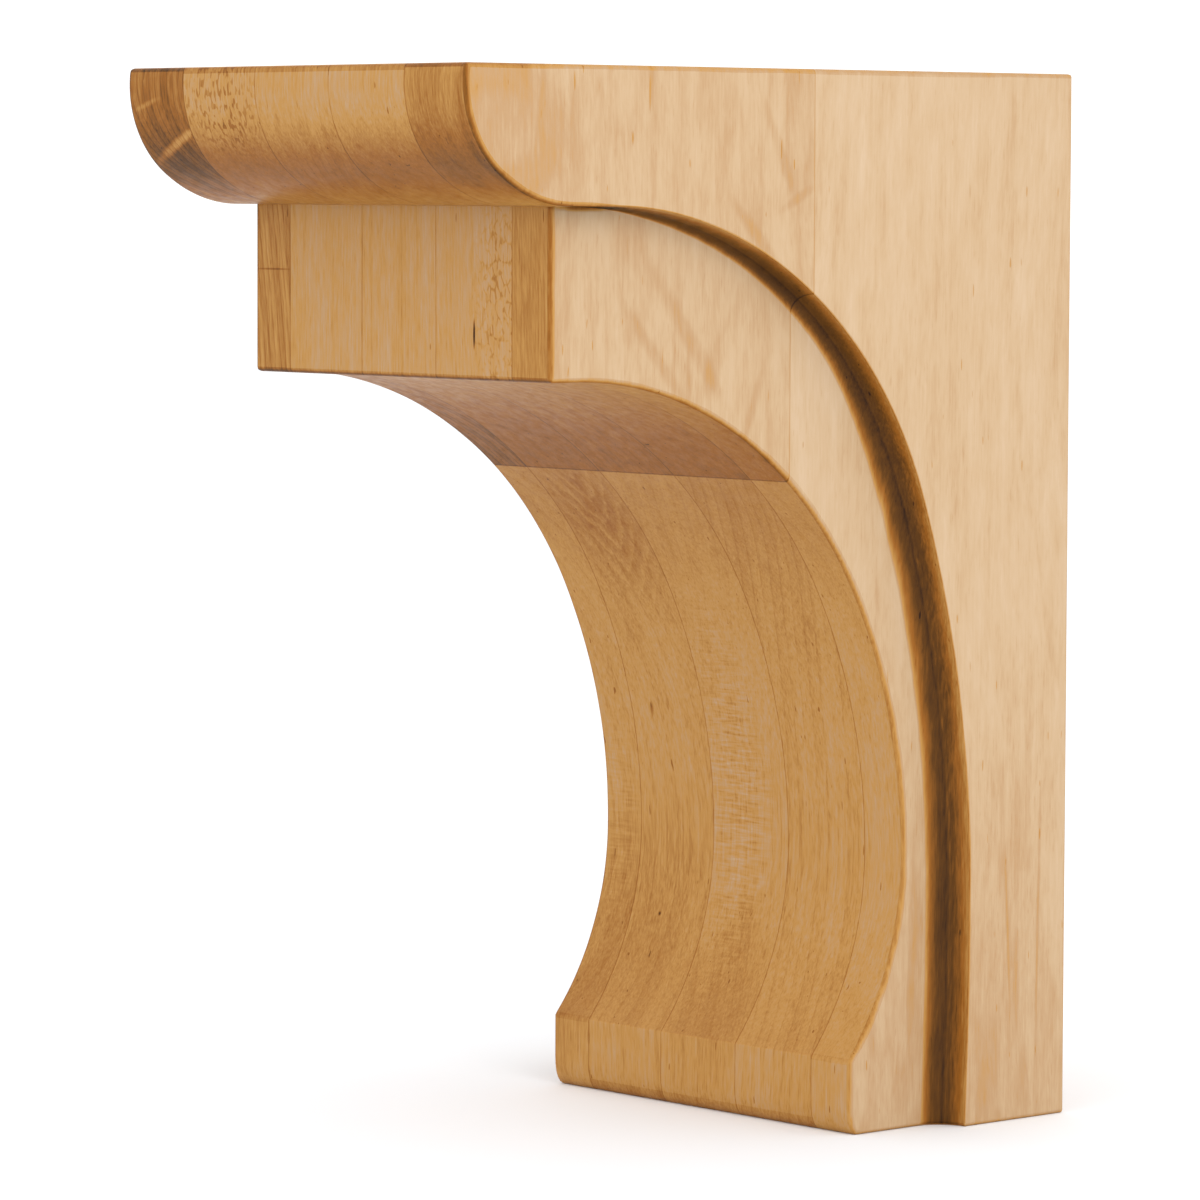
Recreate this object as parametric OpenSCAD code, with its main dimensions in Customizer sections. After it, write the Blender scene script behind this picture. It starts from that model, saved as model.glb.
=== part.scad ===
// Wooden corbel bracket: a blank glued up from ten boards, then shaped as one block.
// Millimetres. X runs across the bracket, +Y points into the wall and +Z up. The wall face is the plane
// Y = 0 and the origin is at its centre. Outlines are drawn in the plane of Y and Z, with Z = 0 at the
// foot, so a "reach" is a distance out from the wall face and a "height" is a distance up from the foot.

/* [Overall] */
// Height of the wall face
height = 254; // [215:1:320]
// Width across the crown and the wall plate
width = 124; // [103:1:170]
// Reach of the fullest point of the crown
projection = 192.5; // [180:0.5:240]

/* [Crown] */
// Height of the crown, from its underside to the top
crown_h = 32; // [26:0.5:45]
// Drop from the top to the fullest point of the crown
crown_drop = 4; // [1:0.5:8]
// Angle at which the crown's wide lower curve gives way to its tighter front curve
crown_turn = 38; // [30:1:50]

/* [Step and cove] */
// Reach of the step's upright face, below the crown
step_reach = 160.5; // [130:0.5:175]
// Height of the step's upright face
step_h = 40; // [30:0.5:50]
// Length of the flat soffit behind the step's lower edge
soffit_flat = 8.5; // [2:0.5:20]
// Reach of the cove where the bracket is thinnest
throat_reach = 47.5; // [38:0.5:60]
// Height at which the cove is deepest
throat_z = 66; // [50:1:80]
// Radius of the cove's lower curve, which ends at the nose
throat_r = 75; // [62:1:100]
// Angle at which the cove's upper curve gives way to its middle curve
cove_turn = 62; // [50:1:68]

/* [Nose] */
// Reach of the nose at the foot
nose_reach = 65; // [61:0.5:80]

/* [Wall plate] */
// How far the body's sides stand in from the sides of the crown and the wall plate
side_inset = 8; // [4:0.5:10]
// Length of the level lip behind the step's face, under the crown
lip_flat = 12.5; // [4:0.5:24]
// Reach of the plate's lip where the plate is thinnest
lip_reach = 33; // [24:0.5:38]
// Height at which the plate is thinnest
lip_turn_z = 58; // [40:1:80]
// Radius of the lip's lower curve, which brings it forward a little by the foot
lip_foot_r = 1400; // [600:50:3000]
// Angle at which the lip's shoulder curve gives way to its long side curve
lip_turn = 70; // [60:1:72]

/* [Cove between body and plate] */
// Radius of the hollow that joins the body's side to the plate's lip
hollow_r = 7.5; // [3:0.5:9]
// Distance from the lip to the hollow's foot, under the crown
hollow_top = 0.5; // [0.3:0.1:4]
// Distance from the lip to the hollow's foot, along the plate's thin stretch
hollow_side = 7.5; // [3:0.5:9]

/* [Boards] */
// Thickness of each full board
board_w = 27; // [18:0.5:32]
// Reach of the glue joint between the front and the back boards
joint_reach = 86; // [70:0.5:110]

/* [Hidden] */
$fn = 180;

boards = 5;
side_half = width / 2;
body_half = side_half - side_inset;
crown_z = height - crown_h;
soffit_z = crown_z - step_h;
overcut = 1;
soft_crease = 0.06;
strip_width = max(hollow_r, hollow_side) + overcut;

// Natural maple: the outer boards of the front are the darkest, the rest pale and honey by turns.
FRONT_TONES = ["#b07a42", "#cda068", "#c99a5f", "#c08f55", "#ab763e"];
BACK_TONES = ["#caa070", "#c4955d", "#d0a670", "#c99c62", "#d8b488"];

// A scoop is the open space in front of a hollow curve. The curve leaves its level start on an upper arc,
// which gives way to a middle arc at the angle turn. That one runs upright at the deepest point, and a
// lower arc brings the curve forward again. Radii are rounded to a hundredth, so that each arc's end
// falls exactly on the next one's start: the start's reach and the deepest point's height follow them.
function hundredth(x) = round(x * 100) / 100;
function first_radius(along, across, turn) =
    hundredth((along * cos(turn) - across * (1 - sin(turn))) / (sin(turn) + cos(turn) - 1));
function second_radius(along, across, turn) =
    hundredth((across * sin(turn) - along * (1 - cos(turn))) / (sin(turn) + cos(turn) - 1));

// The three arcs from the start and the deepest point, each [reach, height], the turn and the radius of
// the lower arc. An arc is [centre, radius, upper angle, lower angle] in the outline's plane.
function scoop_arcs(start, deep, turn, lower) =
    let (
        along = start.x - deep.x,
        across = start.y - deep.y,
        upper = first_radius(along, across, turn),
        middle = second_radius(along, across, turn),
        start_reach = deep.x + middle + (upper - middle) * sin(turn),
        deep_z = start.y - upper + (upper - middle) * cos(turn)
    )
    [
        [[-start_reach, start.y - upper], upper, 90, 90 - turn],
        [[-deep.x - middle, deep_z], middle, 90 - turn, 0],
        [[-deep.x - lower, deep_z], lower, 0, -asin(min(deep_z / lower, 1))]
    ];

COVE = scoop_arcs([step_reach - soffit_flat, soffit_z], [throat_reach, throat_z], cove_turn, throat_r);
LIP = scoop_arcs([step_reach - lip_flat, crown_z], [lip_reach, lip_turn_z], lip_turn, lip_foot_r);
HOLLOW = scoop_arcs(
    [step_reach - lip_flat, crown_z - hollow_top],
    [lip_reach + hollow_side, lip_turn_z],
    lip_turn,
    lip_foot_r
);

// Places its children at a point in two steps, whole millimetres and the rest, which keeps the place
// exact to a millionth.
module at(place) {
    whole = [for (x = place) round(x)];
    translate(whole) translate(place - whole) children();
}

module scoop_space(arcs, end_reach) {
    start = arcs[0][0];
    beyond = projection + overcut;
    at(start) circle(r = arcs[0][1]);
    at(arcs[1][0])
        intersection() {
            circle(r = arcs[1][1]);
            polygon([[0, 0], 2 * arcs[1][1] * [1, 0], 2 * arcs[1][1] * [cos(arcs[1][2]), sin(arcs[1][2])]]);
        }
    at(arcs[2][0])
        intersection() {
            circle(r = arcs[2][1]);
            translate([0, -height]) square([2 * arcs[2][1], height]);
        }
    at([start.x, start.y + arcs[0][1]])
        translate([-beyond - start.x, -height])
            square([beyond + start.x, height]);
    translate([-beyond, -overcut]) square([beyond - end_reach, start.y + overcut]);
}

// Crown in front of the step's face: a wide curve out from its underside, then a tighter one up its
// front, which runs on past the fullest point to the top. It laps a little into the block behind it.
module crown_outline() {
    along = projection - step_reach;
    across = crown_h - crown_drop;
    wide = first_radius(along, across, crown_turn);
    tight = second_radius(along, across, crown_turn);
    wide_centre = [-projection + tight + (wide - tight) * sin(crown_turn), crown_z + wide];
    tight_centre = [-projection + tight, crown_z + wide - (wide - tight) * cos(crown_turn)];
    intersection() {
        union() {
            at(tight_centre) circle(r = tight);
            at(wide_centre)
                intersection() {
                    circle(r = wide);
                    polygon([
                        [0, 0],
                        2 * wide * [-sin(crown_turn), -cos(crown_turn)],
                        [2 * overcut, -2 * wide]
                    ]);
                }
        }
        translate([-projection - overcut, crown_z - overcut]) square([along + 2 * overcut, crown_h + overcut]);
    }
}

module blank_outline() {
    translate([-step_reach, 0]) square([step_reach, height]);
    crown_outline();
}

module body_outline() {
    difference() {
        blank_outline();
        scoop_space(COVE, nose_reach);
    }
}

module plate_outline() {
    difference() {
        blank_outline();
        scoop_space(LIP, step_reach - lip_flat);
    }
}

// Raises an outline into a slab between two places along X.
module slab(from, to) {
    translate([from, 0, 0]) rotate([90, 0, 90]) linear_extrude(height = to - from) children();
}

// Section of the wood left in the hollow, drawn with the hollow's foot at x = foot and the plate's side
// up. It reaches into the body and the plate, so that the three are one solid.
module hollow_section(foot) {
    difference() {
        translate([foot, body_half - overcut]) square([strip_width, overcut + hollow_r - soft_crease]);
        translate([foot, body_half + hollow_r - soft_crease]) circle(r = hollow_r);
    }
}

// Wood of the hollow on the +X side: along the upper and the middle arc, then straight down to the foot.
module hollow_strip() {
    for (arc = [HOLLOW[0], HOLLOW[1]])
        translate([0, round(arc[0].x), round(arc[0].y)])
            translate([0, arc[0].x - round(arc[0].x), arc[0].y - round(arc[0].y)])
                rotate([90, 0, 90])
                    rotate_extrude(angle = arc[2] - arc[3], start = arc[3])
                        hollow_section(arc[1]);
    deep_z = HOLLOW[1][0].y;
    translate([0, 0, round(deep_z)])
        translate([0, 0, deep_z - round(deep_z) - height])
            linear_extrude(height = height)
                rotate(90) mirror([0, 1]) hollow_section(-lip_reach - hollow_side);
}

// Box that a board was sawn to before the blank was shaped.
module board_blank(from, to, front) {
    back_face = front ? -joint_reach : 0;
    front_face = front ? -projection - overcut : -joint_reach;
    translate([from, front_face, 0]) cube([to - from, back_face - front_face, height]);
}

module front_or_back(front) {
    left = front ? -projection - overcut : -joint_reach;
    right = front ? -joint_reach : overcut;
    intersection() {
        children();
        translate([left, -overcut]) square([right - left, height + 2 * overcut]);
    }
}

module inner_board(number, front) {
    from = (number - 1 - boards / 2) * board_w;
    slab(from, from + board_w) front_or_back(front) body_outline();
}

// Outer board of the +X side, which carries the plate's edge and the hollow.
module outer_board(front) {
    glue_face = (boards / 2 - 1) * board_w;
    intersection() {
        union() {
            slab(glue_face, body_half) body_outline();
            slab(body_half, side_half) plate_outline();
            hollow_strip();
        }
        board_blank(glue_face, side_half, front);
    }
}

module board(number, front) {
    tone = front ? FRONT_TONES[number - 1] : BACK_TONES[number - 1];
    color(tone)
        translate([0, 0, -height / 2])
            if (number == 1)
                mirror([1, 0, 0]) outer_board(front);
            else if (number == boards)
                outer_board(front);
            else
                inner_board(number, front);
}

module front_board(number) board(number, true);
module back_board(number) board(number, false);

front_board(1);  // front_board_1
front_board(2);  // front_board_2
front_board(3);  // front_board_3
front_board(4);  // front_board_4
front_board(5);  // front_board_5
back_board(1);  // back_board_1
back_board(2);  // back_board_2
back_board(3);  // back_board_3
back_board(4);  // back_board_4
back_board(5);  // back_board_5
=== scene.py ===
"""Wooden corbel bracket: ten maple boards glued into one block and shaped, on a plain pale floor."""

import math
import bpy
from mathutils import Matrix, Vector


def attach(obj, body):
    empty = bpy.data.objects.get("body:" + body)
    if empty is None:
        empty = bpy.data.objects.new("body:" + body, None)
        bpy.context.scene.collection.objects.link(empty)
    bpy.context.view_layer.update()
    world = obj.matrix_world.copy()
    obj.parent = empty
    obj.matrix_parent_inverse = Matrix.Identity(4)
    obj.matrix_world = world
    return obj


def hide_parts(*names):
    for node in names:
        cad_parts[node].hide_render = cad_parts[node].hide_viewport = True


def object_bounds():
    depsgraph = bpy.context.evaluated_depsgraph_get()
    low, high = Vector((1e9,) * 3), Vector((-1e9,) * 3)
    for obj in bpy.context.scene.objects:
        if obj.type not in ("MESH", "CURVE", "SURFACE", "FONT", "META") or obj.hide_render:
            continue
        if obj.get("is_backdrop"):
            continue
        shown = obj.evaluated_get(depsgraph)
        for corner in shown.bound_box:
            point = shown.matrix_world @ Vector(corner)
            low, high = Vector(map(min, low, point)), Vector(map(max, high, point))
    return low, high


bl_info = {
    "name": "Maple Corbel Bracket",
    "version": (1, 0, 0),
    "blender": (4, 5, 0),
    "location": "View3D > Sidebar > Corbel",
    "description": "Builds a corbel bracket from glued maple boards around its packed frame",
    "category": "Add Mesh",
}

from collections import namedtuple

import bmesh
import bpy
from mathutils import Matrix, Vector, noise

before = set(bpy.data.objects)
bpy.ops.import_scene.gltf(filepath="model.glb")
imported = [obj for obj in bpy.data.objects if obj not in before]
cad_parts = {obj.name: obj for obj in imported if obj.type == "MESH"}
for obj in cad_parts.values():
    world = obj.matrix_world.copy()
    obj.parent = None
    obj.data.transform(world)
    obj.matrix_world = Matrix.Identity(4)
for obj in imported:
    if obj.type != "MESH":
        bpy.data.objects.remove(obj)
CAD_LOW, CAD_HIGH = (Vector(corner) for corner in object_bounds())

MM = 0.001
FOOT_Z = CAD_LOW.z
BOARDS = 5
BOARD_THICKNESS = 27 * MM
GLUE_FACE_X = (BOARDS / 2 - 1) * BOARD_THICKNESS

# Angles at which one arc of a curve gives way to the next, and radii of the lowest arcs.
CROWN_TURN = 38
COVE_TURN = 62
LIP_TURN = 70
COVE_FOOT_RADIUS = 75 * MM
LIP_FOOT_RADIUS = 1400 * MM

# Faces that meet at more than this angle, in degrees, keep a crisp edge between them.
SHARP_ANGLE = 33

# The nose: height of its top edge, height at which its foot starts to round under, and how far it goes.
NOSE_TOP = 17.8 * MM
NOSE_SWEEP = 6.5 * MM
NOSE_TUCK = 2.8 * MM

# How finely the curves are drawn, how far apart points stand along a straight arris, and how often the
# hollow's width is smoothed.
CHORD = 1.6 * MM
STRAIGHT_STEP = 7 * MM
HOLLOW_ROWS = 20
LEVEL_STEPS = 8
NOSE_STEPS = 8
EASE_STEPS = 4
WIDTH_SMOOTHINGS = 30
# A point well along a straight run, which tells a corner where the run goes.
FAR = 100 * MM

# The usual width of the eased arrises, how far the top one reaches along the crown, and each arris's
# share of the width. Under the crown the lip's arris starts full and thins over its first few points.
ARRIS = 1.15 * MM
ARRIS_REACH = 1.1 * MM
LIP_FADE = 8
EASE_FULL = 1.0
EASE_TOP = 0.85
EASE_NOSE = 0.7
EASE_LIP = 0.32
EASE_BACK = 0.5
EASE_FOOT = 0.8

# How far from the crown's underside the side's arris is painted darker, most at the underside itself: painted
# shade in the crease under the crown. On a plain board a face that rounds a corner is small, in square
# metres, and lies within a short reach of it.
CROWN_SHADE_REACH = 4 * MM
CORNER_FACE = 60e-6
CORNER_REACH = 1.6 * MM


# ---------------------------------------------------------------------------------------------------
# Settings


class CorbelSizes(bpy.types.PropertyGroup):
    """Sizes of the shaped block."""

    height: bpy.props.FloatProperty(
        name="Height", description="Height of the wall face",
        default=CAD_HIGH.z - CAD_LOW.z, unit="LENGTH", subtype="DISTANCE",
    )
    width: bpy.props.FloatProperty(
        name="Width", description="Width across the crown and the wall plate",
        default=CAD_HIGH.x - CAD_LOW.x, unit="LENGTH", subtype="DISTANCE",
    )
    projection: bpy.props.FloatProperty(
        name="Projection", description="Reach of the fullest point of the crown",
        default=192.5 * MM, unit="LENGTH", subtype="DISTANCE",
    )
    crown_height: bpy.props.FloatProperty(
        name="Crown height", description="Height of the crown",
        default=32 * MM, unit="LENGTH", subtype="DISTANCE",
    )
    crown_drop: bpy.props.FloatProperty(
        name="Crown drop", description="Drop from the top to the fullest point of the crown",
        default=4 * MM, unit="LENGTH", subtype="DISTANCE",
    )
    step_reach: bpy.props.FloatProperty(
        name="Step reach", description="Reach of the step's upright face",
        default=160.5 * MM, unit="LENGTH", subtype="DISTANCE",
    )
    step_height: bpy.props.FloatProperty(
        name="Step height", description="Height of the step's upright face",
        default=40 * MM, unit="LENGTH", subtype="DISTANCE",
    )
    soffit: bpy.props.FloatProperty(
        name="Soffit", description="Length of the flat soffit behind the step's lower edge",
        default=8.5 * MM, unit="LENGTH", subtype="DISTANCE",
    )
    throat_reach: bpy.props.FloatProperty(
        name="Throat reach", description="Reach of the cove where the bracket is thinnest",
        default=47.5 * MM, unit="LENGTH", subtype="DISTANCE",
    )
    throat_height: bpy.props.FloatProperty(
        name="Throat height", description="Height at which the cove is deepest",
        default=66 * MM, unit="LENGTH", subtype="DISTANCE",
    )
    nose_reach: bpy.props.FloatProperty(
        name="Nose reach", description="Reach of the nose above its eased foot",
        default=65 * MM, unit="LENGTH", subtype="DISTANCE",
    )
    side_inset: bpy.props.FloatProperty(
        name="Side inset", description="How far the body stands in from the crown and the plate",
        default=8 * MM, unit="LENGTH", subtype="DISTANCE",
    )
    lip_level: bpy.props.FloatProperty(
        name="Level lip", description="Length of the level lip under the crown",
        default=12.5 * MM, unit="LENGTH", subtype="DISTANCE",
    )
    lip_reach: bpy.props.FloatProperty(
        name="Lip reach", description="Reach of the plate's lip where the plate is thinnest",
        default=33 * MM, unit="LENGTH", subtype="DISTANCE",
    )
    lip_height: bpy.props.FloatProperty(
        name="Lip height", description="Height at which the plate is thinnest",
        default=58 * MM, unit="LENGTH", subtype="DISTANCE",
    )
    joint_reach: bpy.props.FloatProperty(
        name="Joint reach", description="Reach of the glue joint between front and back boards",
        default=86 * MM, unit="LENGTH", subtype="DISTANCE",
    )


class CorbelFinish(bpy.types.PropertyGroup):
    """Colours of the lacquered maple, from its palest to its darkest streaks, and of the stage."""

    cream: bpy.props.StringProperty(
        name="Cream", description="Palest wood, on the sides", default="CDB599")
    honey: bpy.props.StringProperty(
        name="Honey", description="Wood of the sides' soft streaks", default="C0A27E")
    tan: bpy.props.StringProperty(
        name="Tan", description="Wood between the sides' and the front faces'", default="B5916A")
    gold: bpy.props.StringProperty(
        name="Gold", description="Wood of the front faces", default="B78746")
    amber: bpy.props.StringProperty(
        name="Amber", description="Wood of the darker boards", default="925A1C")
    umber: bpy.props.StringProperty(
        name="Umber", description="Ring lines, figure and tool marks", default="5B370A")
    bark: bpy.props.StringProperty(
        # In the hollows this colour is painted shade.
        name="Bark", description="Flecks, glue lines and scorched hollows", default="2B1604")
    floor: bpy.props.StringProperty(
        name="Floor", description="Studio floor", default="F4F6F9")


# ---------------------------------------------------------------------------------------------------
# Colours, nodes and objects


def linear(code):
    """An sRGB hex colour as linear RGBA."""
    values = [int(code[i:i + 2], 16) / 255 for i in (0, 2, 4)]
    return [v / 12.92 if v <= 0.04045 else ((v + 0.055) / 1.055) ** 2.4 for v in values] + [1.0]


def add(tree, kind, inputs=(), **settings):
    """Adds a node with its settings and its inputs, which come in the node's own order or by name.

    An input is a value, a socket, or a node that gives its first output.
    """
    node = tree.nodes.new(kind)
    for key, value in settings.items():
        setattr(node, key, value)
    for key, value in inputs.items() if isinstance(inputs, dict) else enumerate(inputs):
        if isinstance(value, bpy.types.Node):
            value = value.outputs[0]
        if isinstance(value, bpy.types.NodeSocket):
            tree.links.new(value, node.inputs[key])
        else:
            node.inputs[key].default_value = value
    return node


def new_object(name, data):
    """Makes an object and links it into the scene."""
    made = bpy.data.objects.new(name, data)
    bpy.context.scene.collection.objects.link(made)
    return made


def finished_mesh(draft):
    """The mesh that a draft object's modifier makes, after which the draft is removed."""
    bpy.context.view_layer.update()
    graph = bpy.context.evaluated_depsgraph_get()
    mesh = bpy.data.meshes.new_from_object(draft.evaluated_get(graph))
    bpy.data.objects.remove(draft)
    return mesh


# ---------------------------------------------------------------------------------------------------
# Outlines, as points (along Y, height above the foot), in metres


def arc(centre, radius, start, end):
    """Points of an arc between two angles in degrees, both ends included."""
    count = max(2, math.ceil(abs(math.radians(end - start)) * radius / CHORD))
    turns = [math.radians(start + (end - start) * i / count) for i in range(count + 1)]
    return [(centre[0] + radius * math.cos(t), centre[1] + radius * math.sin(t)) for t in turns]


def two_radii(along, across, turn):
    """Radii of two arcs that join smoothly at the angle turn and span along and across."""
    sine, cosine = math.sin(math.radians(turn)), math.cos(math.radians(turn))
    both = sine + cosine - 1
    return (along * cosine - across * (1 - sine)) / both, (across * sine - along * (1 - cosine)) / both


def scoop(start, deep, turn, foot_radius, foot_height):
    """Hollow curve from its level start down past its deepest point to a height by the foot."""
    along, across = start[0] - deep[0], start[1] - deep[1]
    upper, middle = two_radii(along, across, turn)
    last = -math.degrees(math.asin((deep[1] - foot_height) / foot_radius))
    return (
        arc((-start[0], start[1] - upper), upper, 90, 90 - turn)[:-1]
        + arc((-deep[0] - middle, deep[1]), middle, 90 - turn, 0)[:-1]
        + arc((-deep[0] - foot_radius, deep[1]), foot_radius, 0, last)
    )


def crown_curve(sizes):
    """Front of the crown, from the top down to where it meets the step."""
    wide, tight = two_radii(
        sizes.projection - sizes.step_reach, sizes.crown_height - sizes.crown_drop, CROWN_TURN)
    wide_centre = (-sizes.step_reach, sizes.height - sizes.crown_height + wide)
    tight_centre = (-sizes.projection + tight, sizes.height - sizes.crown_drop)
    top_angle = 180 - math.degrees(math.asin(sizes.crown_drop / tight))
    return (
        arc(tight_centre, tight, top_angle, 270 - CROWN_TURN)[:-1]
        + arc(wide_centre, wide, 270 - CROWN_TURN, 270)
    )


def eased(before, corner, after, radius):
    """Points that round a corner between two straight runs, or the corner itself for no radius."""
    if not radius:
        return [corner]
    here = Vector(corner)
    back, on = (Vector(before) - here).normalized(), (Vector(after) - here).normalized()
    half = back.angle(on) / 2
    first, last = here + back * radius / math.tan(half), here + on * radius / math.tan(half)
    centre = here + (back + on).normalized() * radius / math.sin(half)
    start, end = first - centre, last - centre
    from_angle = math.atan2(start.y, start.x)
    swing = math.remainder(math.atan2(end.y, end.x) - from_angle, 2 * math.pi)
    turns = [from_angle + swing * i / EASE_STEPS for i in range(EASE_STEPS + 1)]
    return [(centre.x + radius * math.cos(t), centre.y + radius * math.sin(t)) for t in turns]


def nose_curve(sizes):
    """Nose below the cove: an upright face whose foot is rounded under."""
    points = [(-sizes.nose_reach, 0.8 * NOSE_TOP)]
    for i in range(NOSE_STEPS + 1):
        turn = math.radians(90 * i / NOSE_STEPS)
        points.append((
            -sizes.nose_reach + NOSE_TUCK * (1 - math.cos(turn)), NOSE_SWEEP * (1 - math.sin(turn))))
    return points


def outlines(sizes, easing=1.0):
    """The parts of the block's outline, in order from the top at the back, and then the plate's lip.

    With no easing the corners stay sharp, for a block whose corners are bevelled later.
    """
    height, step = sizes.height, sizes.step_reach
    under = height - sizes.crown_height
    soffit = under - sizes.step_height
    crown = crown_curve(sizes)
    cove = scoop(
        (step - sizes.soffit, soffit), (sizes.throat_reach, sizes.throat_height),
        COVE_TURN, COVE_FOOT_RADIUS, NOSE_TOP)
    cove[-1] = (-sizes.nose_reach, NOSE_TOP)
    level_lip = [(-step + i * sizes.lip_level / LEVEL_STEPS, under) for i in range(LEVEL_STEPS)]
    long_lip = scoop(
        (step - sizes.lip_level, under), (sizes.lip_reach, sizes.lip_height), LIP_TURN, LIP_FOOT_RADIUS, 0)

    def corner(before, place, after, share):
        return eased(before, place, after, share * ARRIS * easing)

    return {
        "top": corner((0, 0), (0, height), (-FAR, height), EASE_BACK)
        + corner((0, height), crown[0], crown[1], EASE_TOP),
        "crown": [place for place in crown if math.dist(place, crown[0]) > ARRIS_REACH],
        "body": corner((-step, under), (-step, soffit), cove[0], EASE_FULL)
        + cove[:-1]
        + corner(cove[-2], cove[-1], (-sizes.nose_reach, 0), EASE_NOSE)
        + nose_curve(sizes),
        "back": corner((-FAR, 0), (0, 0), (0, height), EASE_BACK),
        "lip": level_lip + long_lip,
    }


def clipped(points, joint, front):
    """The part of a closed outline that lies in front of or behind the glue joint."""
    kept = []
    for (y, z), (next_y, next_z) in zip(points, points[1:] + points[:1]):
        inside, next_inside = (y < -joint) == front, (next_y < -joint) == front
        if inside:
            kept.append((y, z))
        if inside != next_inside:
            share = (-joint - y) / (next_y - y)
            kept.append((-joint, z + share * (next_z - z)))
    return kept


# ---------------------------------------------------------------------------------------------------
# Boards


def node_name(number, front):
    return f"{'front' if front else 'back'}_board_{number}"


def new_piece(node, mesh, material):
    """Links a board into the scene, rides it on the one body and hides its CAD part."""
    piece = new_object("maple_" + node, mesh)
    mesh.materials.clear()
    mesh.materials.append(material)
    mesh.shade_smooth()
    mesh.set_sharp_from_angle(angle=math.radians(SHARP_ANGLE))
    weighted = piece.modifiers.new("Flat faces keep their normals", "WEIGHTED_NORMAL")
    weighted.keep_sharp = True
    weighted.weight = 90
    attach(piece, "root")
    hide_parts(node)
    return piece


def board_tree():
    """Tree that turns a board's outline into the board: the outline is its one face."""
    tree = bpy.data.node_groups.new("Board from outline", "GeometryNodeTree")
    sockets = tree.interface
    sockets.new_socket("Geometry", in_out="INPUT", socket_type="NodeSocketGeometry")
    sockets.new_socket("Thickness", in_out="INPUT", socket_type="NodeSocketFloat")
    sockets.new_socket("Wood", in_out="INPUT", socket_type="NodeSocketMaterial")
    sockets.new_socket("Geometry", in_out="OUTPUT", socket_type="NodeSocketGeometry")
    given = add(tree, "NodeGroupInput")
    grown = add(tree, "GeometryNodeExtrudeMesh", {
        "Mesh": given.outputs["Geometry"], "Offset": (1, 0, 0),
        "Offset Scale": given.outputs["Thickness"], "Individual": False,
    })
    base = add(tree, "GeometryNodeFlipFaces", {"Mesh": given.outputs["Geometry"]})
    both = add(tree, "GeometryNodeJoinGeometry", {"Geometry": base})
    tree.links.new(grown.outputs["Mesh"], both.inputs["Geometry"])
    closed = add(tree, "GeometryNodeMergeByDistance", {"Geometry": both, "Distance": 1e-6})
    real = add(tree, "GeometryNodeRealizeInstances", {"Geometry": closed})
    wood = add(tree, "GeometryNodeSetMaterial", {"Geometry": real, "Material": given.outputs["Wood"]})
    add(tree, "NodeGroupOutput", {"Geometry": wood})
    return tree


def set_modifier_input(modifier, name, value):
    """Sets a tree's input by its socket's identifier."""
    for item in modifier.node_group.interface.items_tree:
        if item.name == name and item.in_out == "INPUT":
            modifier[item.identifier] = value


def inner_board(name, number, front, sizes, tree, material):
    """Plain board: the block's outline, cut at the glue joint and grown to the board's thickness."""
    parts = outlines(sizes)
    block = parts["top"] + parts["crown"] + parts["body"] + parts["back"]
    points = clipped(block, sizes.joint_reach, front)
    from_x = (number - 1 - BOARDS / 2) * BOARD_THICKNESS
    mesh = bpy.data.meshes.new(name + " outline")
    mesh.from_pydata([(from_x, y, z + FOOT_Z) for y, z in points], [], [list(range(len(points)))])
    blank = new_object(name + " outline", mesh)
    if mesh.polygons[0].normal.x < 0:
        mesh.flip_normals()
    grow = blank.modifiers.new("Board", "NODES")
    grow.node_group = tree
    set_modifier_input(grow, "Thickness", BOARD_THICKNESS)
    set_modifier_input(grow, "Wood", material)
    board = finished_mesh(blank)
    board.name = name
    tag_corners(board, parts, sizes)
    return new_piece(name, board, material)


def tag_corners(mesh, parts, sizes):
    """Marks the small faces that round the outline's corners, with how much darker each corner is painted."""
    middle, next_corner = EASE_STEPS // 2, EASE_STEPS + 1
    corners = [
        (parts["top"][middle], 0.2), (parts["top"][next_corner + middle], 0.4), (parts["body"][middle], 0.4),
        (parts["back"][middle], 0.2), ((-sizes.nose_reach, NOSE_TOP), 0.0),
        ((-sizes.nose_reach + 0.8 * MM, 1.0 * MM), 0.2),
    ]
    eased_faces = mesh.attributes.new("eased", "FLOAT", "FACE")
    mesh.attributes.new("hollow", "FLOAT", "CORNER")
    for face in mesh.polygons:
        place = (face.center.y, face.center.z - FOOT_Z)
        distance, darkness = min((math.dist(place, corner), darkness) for corner, darkness in corners)
        rounds_corner = face.area < CORNER_FACE and distance < CORNER_REACH
        eased_faces.data[face.index].value = darkness if rounds_corner else 0.0


# How far the hollow reaches in from the lip, in mm, by the lip's slope in degrees.
HOLLOW_WIDTHS = [
    (0, 0.0), (6, 1.4), (17, 2.6), (45, 4.2), (52, 5.2), (58, 6.5), (68, 7.5), (80, 7.6), (90, 7.4),
]
# How dark the hollow is painted, from the lip (0) to the body's side (1): painted shade under the lip,
# darkest near the middle.
HOLLOW_SHADES = [
    (0.0, 0.06), (0.12, 0.27), (0.25, 0.50), (0.42, 0.68), (0.46, 0.62), (0.50, 0.82),
    (0.55, 0.76), (0.65, 0.74), (0.75, 0.70), (0.85, 0.58), (0.93, 0.36), (1.0, 0.0),
]


def read_off(table, value):
    """A table's result for a value, in a straight line between its rows."""
    for (low, low_result), (high, high_result) in zip(table, table[1:]):
        if value <= high:
            return low_result + (high_result - low_result) * (value - low) / (high - low)
    return table[-1][1]


def dense(points):
    """The same run of points with more of them along its straight stretches."""
    out = [points[0]]
    for here, there in zip(points, points[1:]):
        count = max(1, round(math.dist(here, there) / STRAIGHT_STEP))
        for i in range(1, count + 1):
            out.append(tuple(a + (b - a) * i / count for a, b in zip(here, there)))
    return out


def nearest(points, place):
    """Index of the point that lies nearest to a place."""
    return min(range(len(points)), key=lambda i: math.dist(points[i], place))


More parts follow.
